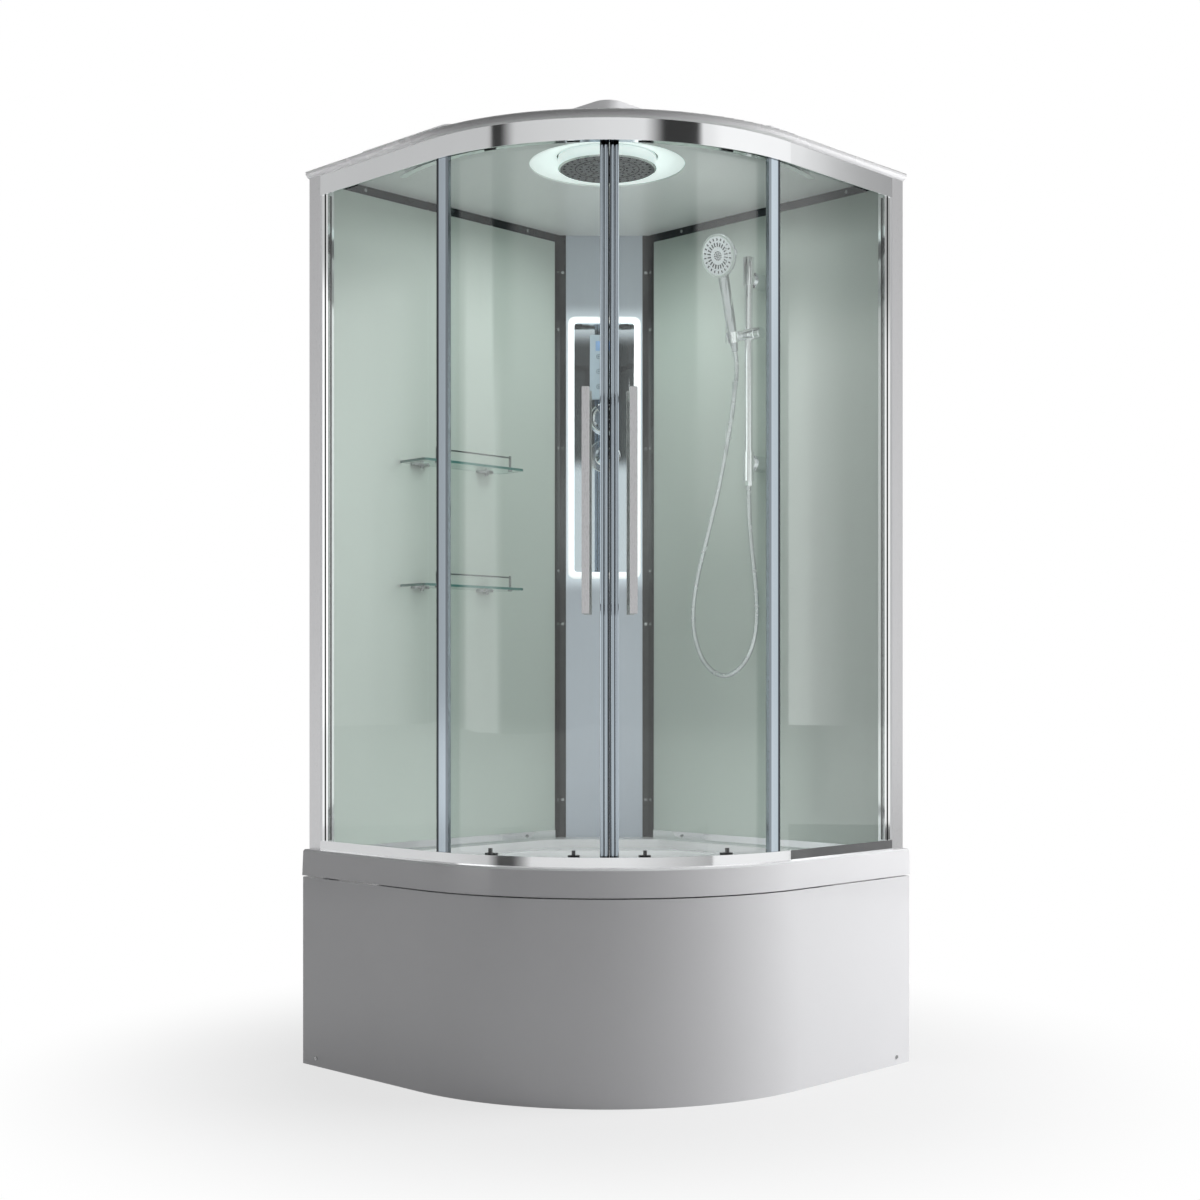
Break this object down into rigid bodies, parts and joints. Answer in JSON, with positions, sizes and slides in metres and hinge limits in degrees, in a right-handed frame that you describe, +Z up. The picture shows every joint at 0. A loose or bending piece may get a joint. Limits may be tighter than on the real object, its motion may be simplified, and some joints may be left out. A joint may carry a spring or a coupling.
{
  "type": "shower cabin",
  "caption": "Quadrant shower cabin: deep tray with curved skirt, curved sliding glass doors, glass rear walls, lit mirror column with controls, rain head, hand shower and shelves",
  "frame": {"origin": "on the floor under the centre of the square that bounds the tray", "axes": "+Z up; the left rear wall runs along -X and the right rear wall along +Y, so the curved front faces +X and -Y"},
  "size_m": [1.0012, 1.0012, 2.15],
  "materials": {
    "white_acrylic": "smooth",
    "frame_steel": "smooth",
    "foot_steel": "smooth",
    "white_plastic": "smooth",
    "polished_aluminium": "polished",
    "satin_aluminium": "satin",
    "clear_glass": "smooth",
    "back_glass": "frosted back",
    "column_skin": "satin",
    "opal": "diffuser",
    "mirror": "smooth",
    "panel_plastic": "smooth",
    "chrome_brass": "polished",
    "chrome_plastic": "metallised",
    "valve_brass": "smooth",
    "supply_pipe": "smooth",
    "nozzle_grey": "smooth",
    "black_plastic": "smooth",
    "hose_metal": "metallised",
    "steel_screw": "smooth"
  },
  "bodies": {
    "cabin": {"tray": "white_acrylic", "skirt": "white_acrylic", "support_frame": "frame_steel", "feet": "foot_steel", "drain": "white_plastic", "bottom_rail": "polished_aluminium", "top_rail": "polished_aluminium", "left_post": "satin_aluminium", "right_post": "satin_aluminium", "left_glass_profiles": "polished_aluminium", "right_glass_profiles": "polished_aluminium", "left_fixed_glass": "clear_glass", "right_fixed_glass": "clear_glass", "left_wall": "back_glass", "right_wall": "back_glass", "wall_profiles": "polished_aluminium", "screws": "steel_screw", "column_panel": "column_skin", "column_cap": "white_plastic", "light_frame": "opal", "mirror": "mirror", "control_panel": "panel_plastic", "mixer_plate": "chrome_brass", "valve_body": "valve_brass", "supply_pipes": "supply_pipe", "roof": "white_acrylic", "roof_cover": "white_acrylic", "ceiling_light": "opal", "rain_head": "chrome_plastic", "rain_face": "nozzle_grey", "power_box": "black_plastic", "shelves": "clear_glass", "shelf_fittings": "chrome_brass", "riser_rail": "chrome_brass", "hose": "hose_metal"},
    "left_door": {"left_door_glass": "clear_glass", "left_door_profiles": "polished_aluminium", "left_handle": "satin_aluminium", "left_carriers": "black_plastic"},
    "right_door": {"right_door_glass": "clear_glass", "right_door_profiles": "polished_aluminium", "right_handle": "satin_aluminium", "right_carriers": "black_plastic"},
    "left_roller_back": {"left_roller_back": "white_plastic"},
    "left_roller_front": {"left_roller_front": "white_plastic"},
    "right_roller_back": {"right_roller_back": "white_plastic"},
    "right_roller_front": {"right_roller_front": "white_plastic"},
    "diverter_knob": {"diverter_knob": "chrome_plastic"},
    "mixer_lever": {"mixer_lever": "chrome_brass"},
    "key_1": {"key_1": "panel_plastic"},
    "key_2": {"key_2": "panel_plastic"},
    "key_3": {"key_3": "panel_plastic"},
    "key_4": {"key_4": "panel_plastic"},
    "key_5": {"key_5": "panel_plastic"},
    "key_6": {"key_6": "panel_plastic"},
    "slider": {"slider": "chrome_plastic"},
    "slider_knob": {"slider_knob": "chrome_plastic"},
    "holder": {"holder": "chrome_plastic"},
    "handset": {"handset": "chrome_plastic"},
    "spray_face": {"spray_face": "nozzle_grey"}
  },
  "joints": [
    {"name": "left_door_slide", "type": "hinge", "parent": "cabin", "child": "left_door", "pos_m": [-0.08, 0.08, 0], "axis": [0, 0, -1], "range_deg": [0, 30]},
    {"name": "right_door_slide", "type": "hinge", "parent": "cabin", "child": "right_door", "pos_m": [-0.08, 0.08, 0], "axis": [0, 0, 1], "range_deg": [0, 30]},
    {"name": "left_roller_back_spin", "type": "hinge", "parent": "left_door", "child": "left_roller_back", "pos_m": [0.07049, -0.42161, 2.031], "axis": [0.2874, -0.9578, 0], "range_deg": [-5, 1505]},
    {"name": "left_roller_front_spin", "type": "hinge", "parent": "left_door", "child": "left_roller_front", "pos_m": [0.23444, -0.3388, 2.031], "axis": [0.6004, -0.7997, 0], "range_deg": [-5, 1505]},
    {"name": "right_roller_back_spin", "type": "hinge", "parent": "right_door", "child": "right_roller_back", "pos_m": [0.42161, -0.07049, 2.031], "axis": [0.9578, -0.2874, 0], "range_deg": [-1505, 5]},
    {"name": "right_roller_front_spin", "type": "hinge", "parent": "right_door", "child": "right_roller_front", "pos_m": [0.3388, -0.23444, 2.031], "axis": [0.7997, -0.6004, 0], "range_deg": [-1505, 5]},
    {"name": "diverter_turn", "type": "hinge", "parent": "cabin", "child": "diverter_knob", "pos_m": [-0.37909, 0.37909, 1.576], "axis": [0.7071, -0.7071, 0], "range_deg": [0, 150]},
    {"name": "mixer_turn", "type": "hinge", "parent": "cabin", "child": "mixer_lever", "pos_m": [-0.37909, 0.37909, 1.479], "axis": [0.7071, -0.7071, 0], "range_deg": [-45, 45]},
    {"name": "key_1_press", "type": "slide", "parent": "cabin", "child": "key_1", "axis": [-0.7071, 0.7071, 0], "range_m": [0, 0.0008], "stiffness_N_per_m": 400},
    {"name": "key_2_press", "type": "slide", "parent": "cabin", "child": "key_2", "axis": [-0.7071, 0.7071, 0], "range_m": [0, 0.0008], "stiffness_N_per_m": 400},
    {"name": "key_3_press", "type": "slide", "parent": "cabin", "child": "key_3", "axis": [-0.7071, 0.7071, 0], "range_m": [0, 0.0008], "stiffness_N_per_m": 400},
    {"name": "key_4_press", "type": "slide", "parent": "cabin", "child": "key_4", "axis": [-0.7071, 0.7071, 0], "range_m": [0, 0.0008], "stiffness_N_per_m": 400},
    {"name": "key_5_press", "type": "slide", "parent": "cabin", "child": "key_5", "axis": [-0.7071, 0.7071, 0], "range_m": [0, 0.0008], "stiffness_N_per_m": 400},
    {"name": "key_6_press", "type": "slide", "parent": "cabin", "child": "key_6", "axis": [-0.7071, 0.7071, 0], "range_m": [0, 0.0008], "stiffness_N_per_m": 400},
    {"name": "slider_height", "type": "slide", "parent": "cabin", "child": "slider", "axis": [0, 0, 1], "range_m": [-0.27, 0.025], "deforming": ["hose"]},
    {"name": "slider_clamp", "type": "hinge", "parent": "slider", "child": "slider_knob", "pos_m": [0.12, 0.41, 1.738], "axis": [1, 0, 0], "range_deg": [-90, 90]},
    {"name": "holder_tilt", "type": "hinge", "parent": "slider", "child": "holder", "pos_m": [0.088, 0.41, 1.738], "axis": [1, 0, 0], "range_deg": [-12, 30], "deforming": ["hose"]},
    {"name": "handset_lift", "type": "slide", "parent": "holder", "child": "handset", "axis": [0, -0.2419, 0.9703], "range_m": [0, 0.04], "deforming": ["hose"]},
    {"name": "spray_select", "type": "hinge", "parent": "handset", "child": "spray_face", "pos_m": [0.068, 0.32523, 1.92093], "axis": [0, -0.9703, -0.2419], "range_deg": [0, 90]}
  ],
  "couplings": [
    {"joint": "left_roller_back_spin", "follows": "left_door_slide", "ratio": 49.876},
    {"joint": "left_roller_front_spin", "follows": "left_door_slide", "ratio": 49.876},
    {"joint": "right_roller_back_spin", "follows": "right_door_slide", "ratio": -49.876},
    {"joint": "right_roller_front_spin", "follows": "right_door_slide", "ratio": -49.876}
  ]
}
